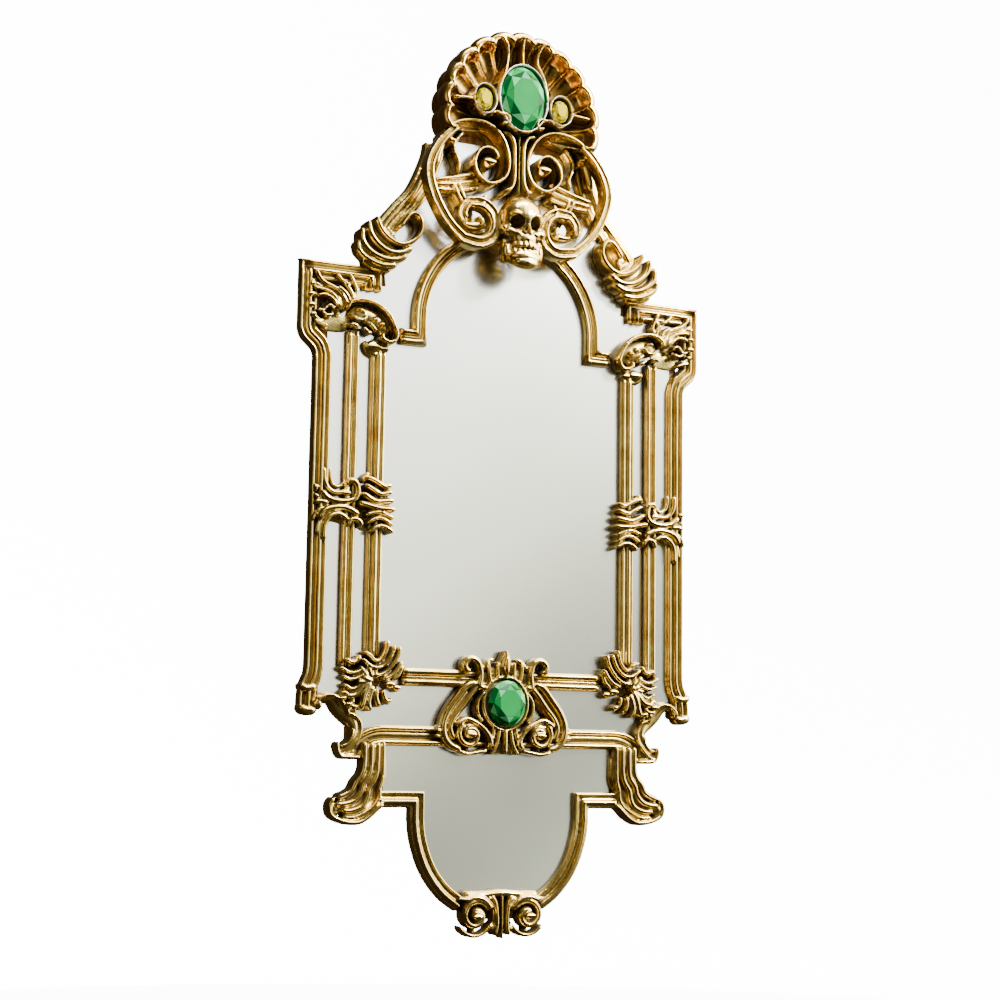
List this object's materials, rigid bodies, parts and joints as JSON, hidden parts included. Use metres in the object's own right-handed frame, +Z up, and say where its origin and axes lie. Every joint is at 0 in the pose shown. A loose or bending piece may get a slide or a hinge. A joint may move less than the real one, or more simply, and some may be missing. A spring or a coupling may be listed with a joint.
{
  "type": "wall mirror",
  "caption": "Tall carved and gilded wall mirror with a shell crest, arched main plate, narrow border plates and a rounded pendant below.",
  "frame": {"origin": "centre line of the mirror, on the wall plane, at the height where the wall hooks carry the two hanger rings", "axes": "+Z up, -Y out of the front of the mirror, +Y into the wall, +X to the right as seen from the front"},
  "size_m": [0.588, 0.099, 1.2],
  "materials": {
    "gilded_wood": "carved wood, gesso and burnished gold leaf with dark toning in the hollows",
    "silvered_glass": "4 mm silvered plate, slightly grey",
    "pine_plywood": "plain sanded boards and battens",
    "zinc_steel": "zinc-plated pressed steel",
    "rubber": "matt moulded",
    "green_stone": "faceted green paste stone",
    "yellow_stone": "faceted yellow paste stone"
  },
  "bodies": {
    "mirror": {"side_board_right": "pine_plywood", "side_board_left": "pine_plywood", "batten_right": "pine_plywood", "batten_left": "pine_plywood", "bumper_right": "rubber", "bumper_left": "rubber", "hanger_strap_right": "zinc_steel", "hanger_strap_left": "zinc_steel", "border_plate_right": "silvered_glass", "border_plate_left": "silvered_glass", "spandrel_plate_right": "silvered_glass", "spandrel_plate_left": "silvered_glass", "outer_stile_right": "gilded_wood", "outer_stile_left": "gilded_wood", "shoulder_bar_right": "gilded_wood", "shoulder_bar_left": "gilded_wood", "middle_bar_right": "gilded_wood", "middle_bar_left": "gilded_wood", "inner_bar_right": "gilded_wood", "inner_bar_left": "gilded_wood", "arch_moulding_right": "gilded_wood", "arch_moulding_left": "gilded_wood", "raked_bar_right": "gilded_wood", "raked_bar_left": "gilded_wood", "pendant_moulding_right": "gilded_wood", "pendant_moulding_left": "gilded_wood", "corner_leaf_right": "gilded_wood", "corner_leaf_left": "gilded_wood", "mid_clasp_right": "gilded_wood", "mid_clasp_left": "gilded_wood", "lower_cluster_right": "gilded_wood", "lower_cluster_left": "gilded_wood", "side_stone_right": "yellow_stone", "side_stone_left": "yellow_stone", "crest_scroll_right": "gilded_wood", "crest_scroll_left": "gilded_wood", "strap_right": "gilded_wood", "strap_left": "gilded_wood", "back_cover": "pine_plywood", "crest_board": "pine_plywood", "lower_board": "pine_plywood", "crest_brace": "pine_plywood", "main_plate": "silvered_glass", "band_plate": "silvered_glass", "pendant_plate": "silvered_glass", "upper_rail": "gilded_wood", "lower_rail": "gilded_wood", "bottom_finial": "gilded_wood", "shell": "gilded_wood", "crest_stone": "green_stone", "crest_post": "gilded_wood", "skull": "gilded_wood", "cartouche": "gilded_wood", "cartouche_stone": "green_stone"},
    "hanger_ring_right_body": {"hanger_ring_right": "zinc_steel"},
    "hanger_ring_left_body": {"hanger_ring_left": "zinc_steel"},
    "turn_button_upper_right_body": {"turn_button_upper_right": "zinc_steel"},
    "turn_button_upper_left_body": {"turn_button_upper_left": "zinc_steel"},
    "turn_button_lower_right_body": {"turn_button_lower_right": "zinc_steel"},
    "turn_button_lower_left_body": {"turn_button_lower_left": "zinc_steel"}
  },
  "joints": [
    {"name": "ring_swing_right", "type": "hinge", "parent": "mirror", "child": "hanger_ring_right_body", "pos_m": [0.21, -0.003, -0.0165], "axis": [-1, 0, 0], "range_deg": [0, 178]},
    {"name": "button_turn_upper_right", "type": "hinge", "parent": "mirror", "child": "turn_button_upper_right_body", "pos_m": [0.17, -0.0162, -0.137], "axis": [0, 1, 0], "range_deg": [-90, 90]},
    {"name": "button_turn_lower_right", "type": "hinge", "parent": "mirror", "child": "turn_button_lower_right_body", "pos_m": [0.17, -0.0162, -0.422], "axis": [0, 1, 0], "range_deg": [-90, 90]},
    {"name": "ring_swing_left", "type": "hinge", "parent": "mirror", "child": "hanger_ring_left_body", "pos_m": [-0.21, -0.003, -0.0165], "axis": [-1, 0, 0], "range_deg": [0, 178]},
    {"name": "button_turn_upper_left", "type": "hinge", "parent": "mirror", "child": "turn_button_upper_left_body", "pos_m": [-0.17, -0.0162, -0.137], "axis": [0, 1, 0], "range_deg": [-90, 90]},
    {"name": "button_turn_lower_left", "type": "hinge", "parent": "mirror", "child": "turn_button_lower_left_body", "pos_m": [-0.17, -0.0162, -0.422], "axis": [0, 1, 0], "range_deg": [-90, 90]}
  ]
}
